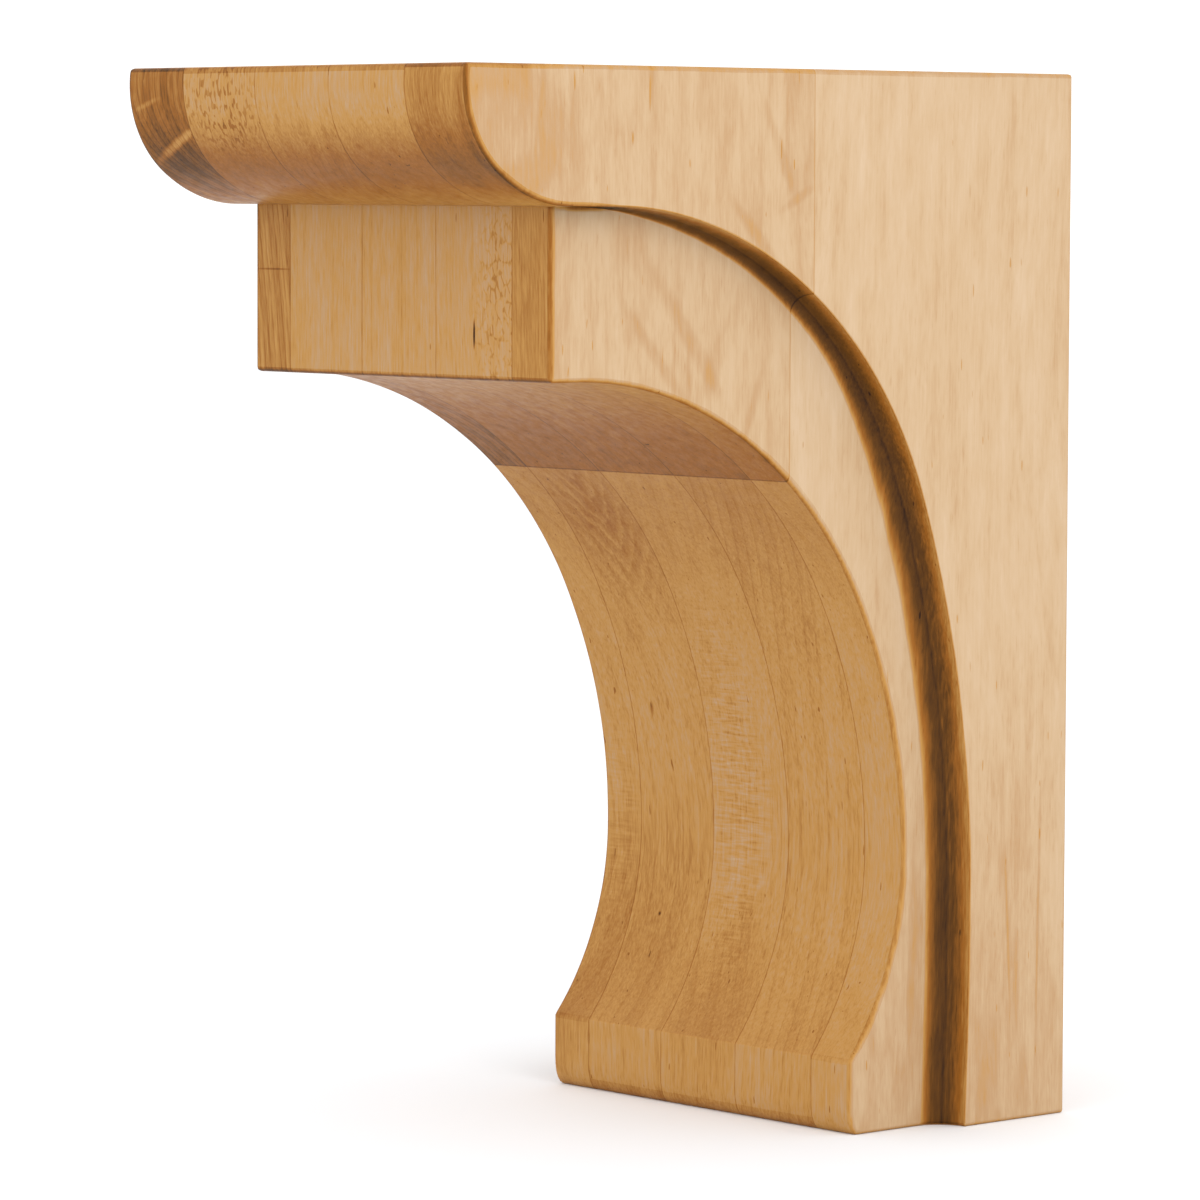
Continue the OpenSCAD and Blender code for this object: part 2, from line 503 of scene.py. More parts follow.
def hollow_rows(sizes, lip):
    """Places in the hollow: from each point of the lip a quarter ellipse down to the body's side."""
    widths, inward = [], []
    for i in range(len(lip)):
        before, after = Vector(lip[max(i - 1, 0)]), Vector(lip[min(i + 1, len(lip) - 1)])
        run = (after - before).normalized()
        slope = math.degrees(math.atan2(-run.y, run.x))
        widths.append(read_off(HOLLOW_WIDTHS, max(slope, 0)) * MM)
        normal = Vector((run.y, -run.x))
        inward.append(-normal if normal.x > 0 else normal)
    for _ in range(WIDTH_SMOOTHINGS):
        widths = [widths[0]] + [
            (widths[i - 1] + 2 * widths[i] + widths[i + 1]) / 4 for i in range(1, len(widths) - 1)
        ] + [widths[-1]]
    widths[0] = 0.0
    rows = []
    for place, width, normal in zip(lip, widths, inward):
        row = []
        for k in range(HOLLOW_ROWS + 1):
            turn = math.radians(90 * k / HOLLOW_ROWS)
            spot = Vector(place) + normal * (width * (1 - math.cos(turn)))
            row.append((sizes.width / 2 - sizes.side_inset * math.sin(turn), (spot.x, max(spot.y, 0.0))))
        rows.append(row)
    return rows


def outer_block(sizes):
    """Bmesh of the outer board of the +X side, front and back in one, with its arrises still sharp."""
    parts = outlines(sizes, easing=0.0)
    side, body_side, glue = sizes.width / 2, sizes.width / 2 - sizes.side_inset, GLUE_FACE_X
    outer = dense(parts["back"] + parts["top"] + parts["crown"])
    body = dense([parts["crown"][-1]] + parts["body"])[1:]
    bm = bmesh.new()
    ease = bm.edges.layers.float.new("bevel_weight_edge")
    hollow = bm.loops.layers.float.new("hollow")

    def vertex(x, place):
        return bm.verts.new((x, place[0], place[1] + FOOT_Z))

    outer_glue = [vertex(glue, p) for p in outer]
    outer_side = [vertex(side, p) for p in outer]
    body_glue = [vertex(glue, p) for p in body]
    body_edge = [vertex(body_side, p) for p in body]
    grid = [
        [outer_side[-1] if j == 0 and k == 0 else vertex(*place) for k, place in enumerate(row)]
        for j, row in enumerate(hollow_rows(sizes, parts["lip"]))
    ]
    for vert in grid[-1]:
        vert.co.z = FOOT_Z

    def face(verts, values=()):
        for loop, value in zip(bm.faces.new(verts).loops, values):
            loop[hollow] = value

    shade = [read_off(HOLLOW_SHADES, k / HOLLOW_ROWS) for k in range(HOLLOW_ROWS + 1)]
    for j in range(len(grid) - 1):
        for k in range(HOLLOW_ROWS):
            face(
                [grid[j][k], grid[j + 1][k], grid[j + 1][k + 1], grid[j][k + 1]],
                [shade[k], shade[k], shade[k + 1], shade[k + 1]],
            )
    for i in range(len(outer) - 2):
        face([outer_glue[i], outer_side[i], outer_side[i + 1], outer_glue[i + 1]])
    face([outer_glue[-2], outer_side[-2]] + grid[0] + [outer_glue[-1]])
    face([outer_glue[-1], grid[0][-1], body_edge[0], body_glue[0]])
    for i in range(len(body) - 1):
        face([body_glue[i], body_edge[i], body_edge[i + 1], body_glue[i + 1]])
    face([body_glue[-1], body_edge[-1]] + grid[-1][::-1] + [outer_side[0], outer_glue[0]])
    face(outer_glue + body_glue)
    face(outer_side + [row[0] for row in grid[1:]])
    face([grid[0][-1]] + body_edge + [row[-1] for row in grid[:0:-1]])
    bmesh.ops.recalc_face_normals(bm, faces=bm.faces)

    def soften(run, share):
        """Weights a run of edges, unevenly over centimetres and again over millimetres, as sanding does."""
        for first, second in zip(run, run[1:]):
            edge = bm.edges.get((first, second))
            if edge:
                middle = (first.co + second.co) / 2
                wobble = 1 + 0.28 * noise.noise(middle * 55) + 0.12 * noise.noise(middle * 210)
                edge[ease] = share * wobble

    def soften_corner(glued, sided, share):
        bm.edges.get((glued, sided))[ease] = share

    top_back, top_front = nearest(outer, parts["top"][0]), nearest(outer, parts["top"][1])
    soften(outer_side, EASE_FULL)
    soften(outer_side[:top_back + 1], EASE_BACK)
    soften_corner(outer_glue[0], outer_side[0], EASE_BACK)
    soften_corner(outer_glue[top_back], outer_side[top_back], EASE_BACK)
    soften_corner(outer_glue[top_front], outer_side[top_front], EASE_TOP)
    for corner, share in ((parts["body"][0], EASE_FULL), ((-sizes.nose_reach, NOSE_TOP), EASE_NOSE)):
        here = nearest(body, corner)
        soften_corner(body_glue[here], body_edge[here], share)
    plate_edge = [row[0] for row in grid]
    for i, pair in enumerate(zip(plate_edge, plate_edge[1:])):
        soften(pair, EASE_LIP + (EASE_FULL - EASE_LIP) * max(1 - i / LIP_FADE, 0))
    soften([grid[0][-1]] + body_edge, EASE_FULL)
    soften([body_edge[-1]] + grid[-1][::-1], EASE_FOOT)
    soften([grid[-1][0], outer_side[0]], EASE_FOOT)
    return bm


def arris_darkness(place, sizes):
    """How dark an eased arris is painted: most along the crown, least at the foot; by the crown's underside
    it is painted shade.
    """
    height = place.z - FOOT_Z
    under = sizes.height - sizes.crown_height
    drop = abs(height - under)
    if drop < CROWN_SHADE_REACH and place.x > sizes.width / 2 - 1 * MM:
        return 0.65 - 0.35 * drop / CROWN_SHADE_REACH
    if height > under and place.y < -sizes.step_reach:
        return 0.45
    if height > sizes.height - 3 * MM:
        return 0.3
    if height > under - sizes.step_height and place.y < -sizes.step_reach + 3 * MM:
        return 0.4
    return 0.3 if height > 20 * MM else 0.15


def eased_mesh(bm, name):
    """Rounds the marked arrises and tags the faces that this makes."""
    mesh = bpy.data.meshes.new(name)
    bm.to_mesh(mesh)
    bm.free()
    sharp = new_object(name, mesh)
    for use in ("uncut", "eased"):
        mesh.materials.append(bpy.data.materials.new(use))
    bevel = sharp.modifiers.new("Eased arrises", "BEVEL")
    bevel.limit_method = "WEIGHT"
    bevel.offset_type = "OFFSET"
    bevel.width = ARRIS
    bevel.segments = 3
    bevel.profile = 0.5
    bevel.material = 1
    bevel.use_clamp_overlap = False
    return finished_mesh(sharp)


def outer_boards(numbers, sizes, materials):
    """The outer boards of both sides, each cut in two at the glue joint."""
    whole = eased_mesh(outer_block(sizes), "outer block")
    pieces = []
    for number in numbers:
        for front in (True, False):
            name = node_name(number, front)
            bm = bmesh.new()
            bm.from_mesh(whole)
            dark_arris = bm.faces.layers.float.new("eased")
            for face in bm.faces:
                # Arris faces get their darkness, which by the crown's underside is painted shade.
                face[dark_arris] = face.material_index * arris_darkness(face.calc_center_median(), sizes)
                face.material_index = 0
            cut = bmesh.ops.bisect_plane(
                bm, geom=bm.verts[:] + bm.edges[:] + bm.faces[:], dist=1e-7,
                plane_co=(0, -sizes.joint_reach, 0), plane_no=(0, 1, 0),
                clear_outer=front, clear_inner=not front,
            )
            rim = [e for e in cut["geom_cut"] if isinstance(e, bmesh.types.BMEdge)]
            bmesh.ops.contextual_create(bm, geom=rim)
            if number == 1:
                bmesh.ops.scale(bm, vec=(-1, 1, 1), verts=bm.verts)
            bmesh.ops.recalc_face_normals(bm, faces=bm.faces)
            mesh = bpy.data.meshes.new(name)
            bm.to_mesh(mesh)
            bm.free()
            pieces.append(new_piece(name, mesh, materials[name]))
    return pieces


# ---------------------------------------------------------------------------------------------------
# Materials

# How far apart two boards' places in the noise lie, so that each board has its own grain.
SEED_STEP = 7.31
SMOOTH = {"interpolation_type": "SMOOTHSTEP"}

# Each board's own wood. pith: where the tree's centre lies from the bracket's middle, in mm. lean: how the
# tree leans from upright, in degrees. ring: width of a year's growth in mm, and line: how strongly it
# shows. wander: how far the rings stray from true, in mm. tone: how dark the board is. under: how much
# painted shade darkens its underside.
Wood = namedtuple("Wood", "pith lean ring line wander tone under")
WOOD = {
    "front_board_1": Wood((-250, -60), (0, 5), 1.9, 0.14, 14, 0.11, 0.16),
    "front_board_2": Wood((240, -330), (1, 1), 2.3, 0.03, 20, -0.01, 0.25),
    "front_board_3": Wood((260, -90), (1, -1), 2.6, 0.05, 16, -0.02, 0.25),
    "front_board_4": Wood((-220, 200), (1, 1), 2.7, 0.03, 20, -0.02, 0.25),
    "front_board_5": Wood((-190, -40), (-1, 2), 5.5, 0.03, 30, 0.035, 0.16),
    "back_board_1": Wood((-160, 40), (2, 3), 4.4, 0.05, 20, 0.0, 0.06),
    "back_board_2": Wood((190, -110), (1, 2), 4.2, 0.05, 16, 0.01, 0.06),
    "back_board_3": Wood((-180, -160), (1, -2), 2.4, 0.04, 20, -0.01, 0.06),
    "back_board_4": Wood((220, 30), (1, -2), 3.0, 0.07, 16, 0.01, 0.06),
    "back_board_5": Wood((-170, 60), (2, -1), 6.0, 0.03, 30, -0.01, 0.06),
}
# The marks on the wood: board, kind, centre and radii of the patch in mm, its turn about X and Y in
# degrees, and its strength. A stain_and_painted_light patch darkens, or lightens below zero; most are stains,
# a few paint shade and highlights. Flecks and ripple show only in their patches.
MARKS = [
    # Painted highlights: two soft light streaks on board 1's crown front, painted glints.
    ("front_board_1", "stain_and_painted_light", (-49.5, -190, 108.6), (20, 9, 1.5), (0, -21), -0.26),
    ("front_board_1", "stain_and_painted_light", (-55, -190, 118.5), (7.0, 9, 1.0), (0, -16), -0.12),
    ("front_board_1", "stain_and_painted_light", (-50, -192, 112), (18, 34, 30), (0, 0), 0.10),
    ("front_board_5", "edge", (62, -184, 112), (5.5, 26, 22), (0, 0), 0.07),
    ("front_board_5", "stain_and_painted_light", (51, -160.5, 75), (22, 7, 40), (0, 0), 0.05),
    ("front_board_1", "stain_and_painted_light", (-47, -160.5, 79.6), (9, 9, 0.35), (0, 0), 0.16),
    ("front_board_2", "fleck", (-27, -190, 119), (22, 20, 17), (0, 0), 0.17),
    ("front_board_4", "mesh", (36, -160, 74), (12.5, 20, 38), (0, 0), 0.15),
    ("front_board_4", "stain_and_painted_light", (27.2, -160.5, 65.6), (0.5, 9, 4.6), (0, 0), 0.62),
    ("front_board_5", "stain_and_painted_light", (49, -186, 112), (17, 26, 34), (0, 0), 0.09),
    ("front_board_5", "stain_and_painted_light", (62, -178, 108), (9, 40, 34), (0, 0), 0.04),
    ("front_board_5", "stain_and_painted_light", (62, -137.7, 121), (9, 0.5, 6), (0, 0), 0.16),
    ("front_board_5", "stain_and_painted_light", (62, -142.9, 110.6), (9, 0.4, 2.2), (0, 0), 0.20),
    ("front_board_5", "stain_and_painted_light", (62, -161, 112), (9, 1.6, 18), (0, 0), 0.06),
    # Painted shadow: a thin dark line in the crease where the crown's underside meets the body's side, on
    # both outer boards.
    ("front_board_5", "stain_and_painted_light", (54.6, -150, 94.9), (8.4, 13, 1.4), (0, 0), 0.42),
    ("front_board_1", "stain_and_painted_light", (-54.6, -150, 94.9), (8.4, 13, 1.4), (0, 0), 0.42),
    ("front_board_5", "stain_and_painted_light", (62, -97, 108), (9, 2.2, 20), (24, 0), 0.07),
    ("front_board_5", "stain_and_painted_light", (62, -104, 88), (9, 2.4, 18), (44, 0), 0.07),
    ("front_board_5", "stain_and_painted_light", (62, -91, 97), (9, 1.8, 9), (-62, 0), 0.06),
    ("front_board_5", "stain_and_painted_light", (54, -119, 66), (6, 3.2, 30), (36, 0), 0.07),
    ("front_board_5", "stain_and_painted_light", (54, -128, 60), (6, 2.6, 22), (40, 0), 0.06),
    ("front_board_5", "stain_and_painted_light", (54, -108, 62), (6, 4.5, 26), (-30, 0), 0.05),
    ("front_board_5", "stain_and_painted_light", (54, -98, 48), (6, 2.0, 16), (-20, 0), 0.06),
    ("back_board_2", "stain_and_painted_light", (-33, -48, -31), (1.0, 9, 3.2), (0, 6), 0.22),
    ("back_board_2", "stain_and_painted_light", (-26.7, -48, -29), (0.7, 9, 4.2), (0, 4), 0.16),
    ("back_board_2", "stain_and_painted_light", (-30, -49, -82.5), (0.7, 9, 0.8), (0, 0), 0.34),
    ("back_board_2", "vee", (-26, -70, 22), (22, 40, 44), (0, 0), 0.065),
    ("back_board_3", "ripple", (-4, -55, -50), (16, 60, 66), (0, 0), 0.44),
    ("back_board_3", "stain_and_painted_light", (1, -48, -82), (8, 20, 9), (0, 0), 0.02),
    ("back_board_1", "ripple", (-48, -55, -60), (10, 60, 40), (0, 0), 0.20),
    ("back_board_1", "stain_and_painted_light", (-48, -56, -92), (34, 50, 52), (0, 0), 0.08),
    ("back_board_2", "stain_and_painted_light", (-27, -54, -80), (22, 50, 40), (0, 0), 0.06),
    ("back_board_3", "stain_and_painted_light", (0, -54, -104), (22, 50, 38), (0, 0), 0.07),
    ("back_board_5", "stain_and_painted_light", (62, -20, -80), (9, 0.7, 27), (3, 0), 0.10),
    ("back_board_5", "stain_and_painted_light", (62, -9.6, -82), (9, 0.7, 46), (-1, 0), 0.09),
    ("back_board_5", "stain_and_painted_light", (62, -25, -112), (9, 5, 22), (-14, 0), 0.05),
]


def maple(name, sizes, finish):
    """Lacquered hard maple, planed and sanded: pale close grain, thin ring lines, silky satin sheen."""
    wood = WOOD[name]
    seed = sorted(WOOD).index(name) * SEED_STEP
    material = bpy.data.materials.new("maple, satin lacquer, " + name.replace("_", " "))
    material.use_nodes = True
    tree = material.node_tree
    tree.nodes.clear()
    place = add(tree, "ShaderNodeTexCoord")
    millimetres = add(tree, "ShaderNodeMapping", {
        "Vector": place.outputs["Object"], "Scale": (1 / MM, 1 / MM, 1 / MM)})
    axes = add(tree, "ShaderNodeSeparateXYZ", (millimetres,)).outputs
    # The tree's centre is the origin of the rings, and its length runs along Z.
    trunk = add(tree, "ShaderNodeMapping", {
        "Vector": millimetres, "Location": (-wood.pith[0], -wood.pith[1], 0),
        "Rotation": (math.radians(wood.lean[0]), math.radians(wood.lean[1]), 0)})

    def grain(source, size, length, detail=2.0, offset=0.0, rough=0.5):
        """Noise drawn out along the grain: size across and length along it, in mm."""
        stretched = add(tree, "ShaderNodeMapping", {
            "Vector": source, "Location": (seed + offset, seed * 1.7, offset),
            "Scale": (1 / size, 1 / size, 1 / length)})
        return add(tree, "ShaderNodeTexNoise", {
            "Vector": stretched, "Scale": 1.0, "Detail": detail, "Roughness": rough})

    def spots(size, length, detail, offset, low, high):
        """Small marks along the grain, which come up as its noise goes from low to high."""
        noise_there = grain(millimetres, size, length, detail, offset)
        return add(tree, "ShaderNodeMapRange", (noise_there, low, high), **SMOOTH)

    def shown_by(pattern, mask, least, most):
        """A pattern that shows by the share least where the mask is 0 and most where it is 1."""
        share = add(tree, "ShaderNodeMath", (mask, most - least, least), operation="MULTIPLY_ADD")
        return add(tree, "ShaderNodeMath", (pattern, share), operation="MULTIPLY")

    # The rings wander by several millimetres over the length of a board.
    stray = add(tree, "ShaderNodeVectorMath", (
        grain(trunk, 60, 190, 1.5).outputs["Color"], (0.5, 0.5, 0.5)), operation="SUBTRACT")
    warped = add(tree, "ShaderNodeVectorMath", (
        stray, (wood.wander, wood.wander, 0), trunk), operation="MULTIPLY_ADD")
    flat = add(tree, "ShaderNodeVectorMath", (warped, (1, 1, 0)), operation="MULTIPLY")
    radius = add(tree, "ShaderNodeVectorMath", (flat,), operation="LENGTH").outputs["Value"]
    years = add(tree, "ShaderNodeMath", (radius, wood.ring), operation="DIVIDE")
    years = add(tree, "ShaderNodeMath", (
        grain(trunk, 26, 260, 1.0, 3.3), 0.06 * wood.wander, years), operation="MULTIPLY_ADD")
    year = add(tree, "ShaderNodeMath", (years,), operation="FRACT")
    late_wood = add(tree, "ShaderNodeMath", (year, 5.0), operation="POWER")
    until_winter = add(tree, "ShaderNodeMapRange", (year, 1.0, 0.94), **SMOOTH)
    ring = add(tree, "ShaderNodeMath", (late_wood, until_winter), operation="MULTIPLY")
    swell = add(tree, "ShaderNodeMath", (years, 2.1), operation="MULTIPLY")
    swell = add(tree, "ShaderNodeMath", (swell,), operation="SINE")

    # Fibres and streaks, drawn a little coarser than the wood's own so that they show.
    fibre = grain(millimetres, 0.5, 24, 3.0, 5.1, 0.65)
    streak = grain(millimetres, 2.2, 90, 2.0, 8.7)
    cloud = grain(millimetres, 15, 70, 3.0, 2.9)
    nap = grain(warped, 0.62, 5.5, 2.0, 13.7, 0.6)
    figure = grain(warped, 4.5, 17, 3.0, 27.0, 0.6)

    # How the surface lies: end grain and curves across the grain take the finish darker. Undersides and the
    # lower sides are painted darker as painted shade, and front faces partly so.
    lie = add(tree, "ShaderNodeSeparateXYZ", (place.outputs["Normal"],)).outputs
    endwise = add(tree, "ShaderNodeMath", (lie[2],), operation="ABSOLUTE")
    end_grain = add(tree, "ShaderNodeMapRange", (endwise, 0.1, 0.98), **SMOOTH)
    frontward = add(tree, "ShaderNodeMath", (lie[1],), operation="ABSOLUTE")
    front_face = add(tree, "ShaderNodeMapRange", (frontward, 0.15, 0.8), **SMOOTH)
    eased_face = add(tree, "ShaderNodeAttribute", attribute_name="eased").outputs["Fac"]
    hollow = add(tree, "ShaderNodeAttribute", attribute_name="hollow").outputs["Fac"]
    outside_hollow = add(tree, "ShaderNodeMapRange", (hollow, 0.01, 0.0), **SMOOTH)
    # Painted shade: faces that look down are painted darker.
    underside = add(tree, "ShaderNodeMapRange", (lie[2], -0.15, -0.95), **SMOOTH)
    # Painted shade: the sides are painted darker towards the bottom.
    low = add(tree, "ShaderNodeMapRange", (axes[2], 30.0, -115.0), **SMOOTH)

    # The fine grain shows most on the front faces, the broad figure on the sides.
    fine = add(tree, "ShaderNodeMath", (nap, 1.2, fibre), operation="MULTIPLY_ADD")
    fine = add(tree, "ShaderNodeMath", (fine, 1.1), operation="SUBTRACT")
    fine = shown_by(shown_by(fine, front_face, 0.45, 1.0), end_grain, 1.0, 0.45)
    broad = add(tree, "ShaderNodeMath", (streak, 0.6, cloud), operation="MULTIPLY_ADD")
    broad = add(tree, "ShaderNodeMath", (broad, 0.8), operation="SUBTRACT")
    rough_figure = add(tree, "ShaderNodeMath", (figure, 0.5), operation="SUBTRACT")

    def mark(kind, centre, radii, turn):
        """One mark: how far a place lies within its patch, times what fills the patch."""
        patch = add(tree, "ShaderNodeMapping", {
            "Vector": millimetres, "Location": centre, "Scale": radii,
            "Rotation": (math.radians(turn[0]), math.radians(turn[1]), 0)}, vector_type="TEXTURE")
        within = add(tree, "ShaderNodeVectorMath", (patch,), operation="LENGTH").outputs["Value"]
        within = add(tree, "ShaderNodeMapRange", (within, 1.0, 0.2), **SMOOTH)
        # A plain patch: a stain, and for a few marks painted shade and painted highlights.
        if kind == "stain_and_painted_light":
            return within
        if kind == "edge":
            from_rim = add(tree, "ShaderNodeMath", (within, 0.5), operation="SUBTRACT")
            from_rim = add(tree, "ShaderNodeMath", (from_rim,), operation="ABSOLUTE")
            return add(tree, "ShaderNodeMapRange", (from_rim, 0.5, 0.2), **SMOOTH)
        if kind == "fleck":
            filling = spots(0.75, 2.3, 0.5, 51.0, 0.54, 0.62)
        elif kind == "mesh":
            # Ray fleck: broken outlines of small upright cells.
            cells = add(tree, "ShaderNodeMapping", {"Vector": warped, "Scale": (0.72, 0.72, 0.33)})
            cells = add(tree, "ShaderNodeTexVoronoi", {"Vector": cells, "Scale": 1.0},
                        feature="DISTANCE_TO_EDGE", voronoi_dimensions="3D").outputs["Distance"]
            walls = add(tree, "ShaderNodeMapRange", (cells, 0.16, 0.03), **SMOOTH)
            broken = spots(1.6, 2.4, 1.0, 71.0, 0.40, 0.56)
            filling = add(tree, "ShaderNodeMath", (walls, broken), operation="MULTIPLY")
        elif kind == "vee":
            # Cathedral figure: nested points of the rings, one every 6 mm, with the points down.
            spot = add(tree, "ShaderNodeSeparateXYZ", (patch,)).outputs
            across = add(tree, "ShaderNodeMath", (spot[0], 0.15), operation="SUBTRACT")
            across = add(tree, "ShaderNodeMath", (figure, 0.3, across), operation="MULTIPLY_ADD")
            across = add(tree, "ShaderNodeMath", (across,), operation="ABSOLUTE")
            slant = add(tree, "ShaderNodeMath", (across, -4.4), operation="MULTIPLY")
            rise = add(tree, "ShaderNodeMath", (spot[2], radii[2] / 6.0, slant), operation="MULTIPLY_ADD")
            band = add(tree, "ShaderNodeMath", (rise,), operation="FRACT")
            fade_in = add(tree, "ShaderNodeMapRange", (band, 0.0, 0.55), **SMOOTH)
            fade_out = add(tree, "ShaderNodeMapRange", (band, 1.0, 0.86), **SMOOTH)
            filling = add(tree, "ShaderNodeMath", (fade_in, fade_out), operation="MULTIPLY")
        elif kind == "ripple":
            bands = add(tree, "ShaderNodeMapping", {
                "Vector": millimetres, "Location": (seed, 0, seed), "Scale": (0.16, 0.16, 1.5)})
            bands = add(tree, "ShaderNodeTexNoise", {"Vector": bands, "Scale": 1.0, "Detail": 2.0})
            filling = add(tree, "ShaderNodeMath", (bands, 0.5), operation="SUBTRACT")
        return add(tree, "ShaderNodeMath", (within, filling), operation="MULTIPLY")

    # Everything that darkens the wood, with its strength: grain, figure and marks, and the painted shade
    # noted at each line.
    layers = [
        (ring, wood.line),
        (swell, 0.2 * wood.line),
        (fine, 0.21),
        (shown_by(broad, end_grain, 1.0, 0.25), 0.12),
        (shown_by(rough_figure, front_face, 1.0, 0.35), 0.22),
        (spots(0.36, 5.0, 1.0, 20.0, 0.64, 0.74), 0.05),
        (spots(0.9, 6.0, 0.0, 31.0, 0.82, 0.86), 0.18),
        (spots(4.0, 60, 2.0, 41.0, 0.60, 0.80), 0.06),
        # Front faces painted darker: partly the cut of the grain, partly painted shade, as they get less
        # light than the sides.
        (front_face, 0.20),
        (end_grain, 0.08),
        # Painted shade on the undersides, kept out of the hollow.
        (shown_by(underside, outside_hollow, 0.0, 1.0), wood.under),
        # Painted shade darkening the sides towards the bottom.
        (shown_by(low, front_face, 1.0, 0.0), 0.07),
        # Eased arrises painted darker; by the crown's underside this is painted shade.
        (eased_face, 0.30),
        # Painted shade in the hollow under the lip.
        (hollow, 0.66),
    ] + [(mark(*what), strength) for board, *what, strength in MARKS if board == name]
    tone = 0.2 + wood.tone
    for layer, strength in layers:
        tone = add(tree, "ShaderNodeMath", (layer, strength, tone), operation="MULTIPLY_ADD")

    # Glue lines: a dark thread about a third of a millimetre wide where two boards meet.
    thread = add(tree, "ShaderNodeMath", (axes[1], sizes.joint_reach / MM), operation="ADD")
    thread = add(tree, "ShaderNodeMath", (thread,), operation="ABSOLUTE")
    from_middle = add(tree, "ShaderNodeMath", (axes[0],), operation="ABSOLUTE")
    for boards_out in (0.5, 1.5):
        beside = add(tree, "ShaderNodeMath", (
            from_middle, boards_out * BOARD_THICKNESS / MM), operation="SUBTRACT")
        beside = add(tree, "ShaderNodeMath", (beside,), operation="ABSOLUTE")
        thread = add(tree, "ShaderNodeMath", (beside, thread), operation="MINIMUM")
    thread = add(tree, "ShaderNodeMapRange", (thread, 0.26, 0.08), **SMOOTH)
    tone = add(tree, "ShaderNodeMath", (thread, 0.13, tone), operation="MULTIPLY_ADD")

    shades = add(tree, "ShaderNodeValToRGB", (tone,))
    elements = shades.color_ramp.elements
    stops = [
        (0.0, finish.cream), (0.22, finish.honey), (0.31, finish.tan), (0.43, finish.gold),
        (0.62, finish.amber), (0.80, finish.umber), (1.0, finish.bark),
    ]
    while len(elements) < len(stops):
        elements.new(0.5)
    for element, (position, code) in zip(elements, stops):
        element.position = position
        element.color = linear(code)

    satin = add(tree, "ShaderNodeMapRange", (streak, 0.3, 0.7, 0.36, 0.48), **SMOOTH)
    relief = add(tree, "ShaderNodeMath", (fibre, 0.6), operation="MULTIPLY")
    relief = add(tree, "ShaderNodeMath", (ring, -0.4, relief), operation="MULTIPLY_ADD")
    bump = add(tree, "ShaderNodeBump", {"Strength": 0.12, "Distance": 0.06 * MM, "Height": relief})
    shader = add(tree, "ShaderNodeBsdfPrincipled", {
        "Base Color": shades, "Roughness": satin, "IOR": 1.5, "Specular IOR Level": 0.12,
        "Coat Weight": 0.02, "Coat Roughness": 0.28, "Normal": bump})
    add(tree, "ShaderNodeOutputMaterial", {"Surface": shader})
    return material


def studio_floor(finish):
    """Matt painted board: an even, almost white floor with no gloss."""
    material = bpy.data.materials.new("matt white painted floor")
    material.use_nodes = True
    shader = material.node_tree.nodes["Principled BSDF"]
    shader.inputs["Base Color"].default_value = linear(finish.floor)
    shader.inputs["Roughness"].default_value = 0.9
    shader.inputs["Specular IOR Level"].default_value = 0.1
    return material


# ---------------------------------------------------------------------------------------------------
# Operators


class CORBEL_OT_inner_boards(bpy.types.Operator):
    """Build the three middle boards, front and back"""

    bl_idname = "corbel.inner_boards"
    bl_label = "Inner boards"

    def execute(self, context):
        sizes, finish = context.scene.corbel_sizes, context.scene.corbel_finish
        tree = board_tree()
        for number in range(2, BOARDS):
            for front in (True, False):
                name = node_name(number, front)
                piece = inner_board(name, number, front, sizes, tree, maple(name, sizes, finish))
        return {"FINISHED"}


class CORBEL_OT_outer_boards(bpy.types.Operator):
    """Build the outer boards, which carry the plate's edge and the hollow"""

    bl_idname = "corbel.outer_boards"
    bl_label = "Outer boards"

    def execute(self, context):
        sizes, finish = context.scene.corbel_sizes, context.scene.corbel_finish
        names = [node_name(number, front) for front in (True, False) for number in (1, BOARDS)]
        woods = {name: maple(name, sizes, finish) for name in names}
        pieces = outer_boards((1, BOARDS), sizes, woods)
        return {"FINISHED"}


# Half the floor's width, in metres.
FLOOR_HALF = 6.0
WORLD_STRENGTH = 1.2
# Name, place from the bracket's middle, size and power of each studio light.
LIGHTS = [("key", (1.15, -0.35, 0.60), 0.9, 5.0)]
# The camera's focal length in widths of its sensor, its azimuth, pitch and roll in degrees, and its
# place from the foot of the wall face's middle.
CAMERA_FOCAL = 4.93325
CAMERA_ANGLES = (48.50, 4.073, 0.192)
CAMERA_PLACE = (1.06546, -1.04020, 0.22839)


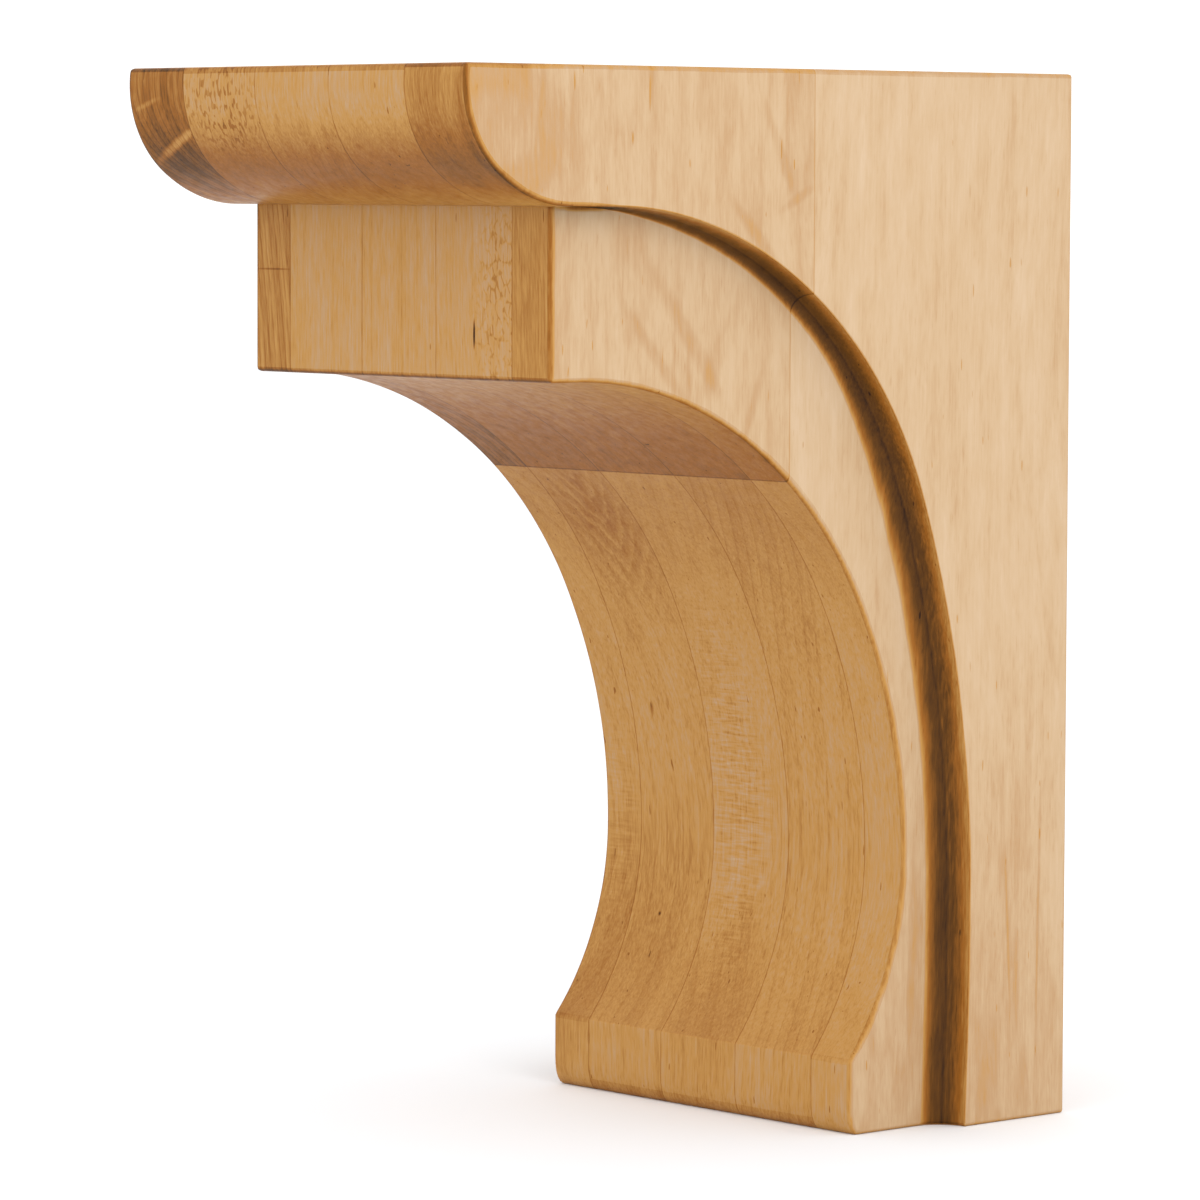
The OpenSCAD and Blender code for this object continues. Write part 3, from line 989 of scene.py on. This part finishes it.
class CORBEL_OT_stage(bpy.types.Operator):
    """Set the floor, the studio lights and the camera"""

    bl_idname = "corbel.stage"
    bl_label = "Stage"

    def execute(self, context):
        scene, finish = context.scene, context.scene.corbel_finish
        middle = (CAD_LOW + CAD_HIGH) / 2
        mesh = bpy.data.meshes.new("floor")
        corners = [(-FLOOR_HALF, -FLOOR_HALF), (FLOOR_HALF, -FLOOR_HALF),
                   (FLOOR_HALF, FLOOR_HALF), (-FLOOR_HALF, FLOOR_HALF)]
        mesh.from_pydata([(x, y, CAD_LOW.z) for x, y in corners], [], [(0, 1, 2, 3)])
        mesh.materials.append(studio_floor(finish))
        new_object("floor", mesh)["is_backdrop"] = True

        scene.view_settings.view_transform = "Standard"
        world = bpy.data.worlds.new("studio")
        scene.world = world
        world.use_nodes = True
        sky = world.node_tree.nodes["Background"]
        sky.inputs[0].default_value = (1.0, 1.0, 1.0, 1.0)
        sky.inputs[1].default_value = WORLD_STRENGTH

        for name, place, size, power in LIGHTS:
            lamp = bpy.data.lights.new(name, "AREA")
            lamp.shape, lamp.size, lamp.energy = "SQUARE", size, power
            light = new_object(name, lamp)
            light.location = middle + Vector(place)
            light.rotation_mode = "QUATERNION"
            light.rotation_quaternion = (-Vector(place)).to_track_quat("-Z", "Y")

        lens = bpy.data.cameras.new("camera")
        camera = new_object("camera", lens)
        scene.camera = camera
        lens.sensor_width = 36.0
        lens.lens = CAMERA_FOCAL * lens.sensor_width
        lens.clip_start, lens.clip_end = 0.05, 50.0
        azimuth, pitch, roll = (math.radians(a) for a in CAMERA_ANGLES)
        right = Vector((math.cos(azimuth), math.sin(azimuth), 0))
        level = Vector((-math.sin(azimuth), math.cos(azimuth), 0))
        ahead = level * math.cos(pitch) - Vector((0, 0, 1)) * math.sin(pitch)
        up = right.cross(ahead)
        turn = Matrix((right, up, -ahead)).transposed()
        camera.rotation_mode = "QUATERNION"
        camera.rotation_quaternion = (turn @ Matrix.Rotation(roll, 3, "Z")).to_quaternion()
        camera.location = Vector(CAMERA_PLACE) + Vector((0, 0, FOOT_Z))
        return {"FINISHED"}


class CORBEL_PT_panel(bpy.types.Panel):
    """Lists the steps that build the bracket"""

    bl_idname = "CORBEL_PT_panel"
    bl_label = "Corbel bracket"
    bl_space_type = "VIEW_3D"
    bl_region_type = "UI"
    bl_category = "Corbel"

    def draw(self, context):
        for step in STEPS:
            self.layout.operator(step.bl_idname)


STEPS = (CORBEL_OT_inner_boards, CORBEL_OT_outer_boards, CORBEL_OT_stage)
CLASSES = (CorbelSizes, CorbelFinish) + STEPS + (CORBEL_PT_panel,)


def register():
    for kind in CLASSES:
        bpy.utils.register_class(kind)
    bpy.types.Scene.corbel_sizes = bpy.props.PointerProperty(type=CorbelSizes)
    bpy.types.Scene.corbel_finish = bpy.props.PointerProperty(type=CorbelFinish)


def unregister():
    del bpy.types.Scene.corbel_finish
    del bpy.types.Scene.corbel_sizes
    for kind in reversed(CLASSES):
        bpy.utils.unregister_class(kind)


def main():
    register()
    bpy.ops.corbel.inner_boards()
    bpy.ops.corbel.outer_boards()
    bpy.ops.corbel.stage()
    bpy.context.view_layer.update()


if __name__ == "__main__":
    main()
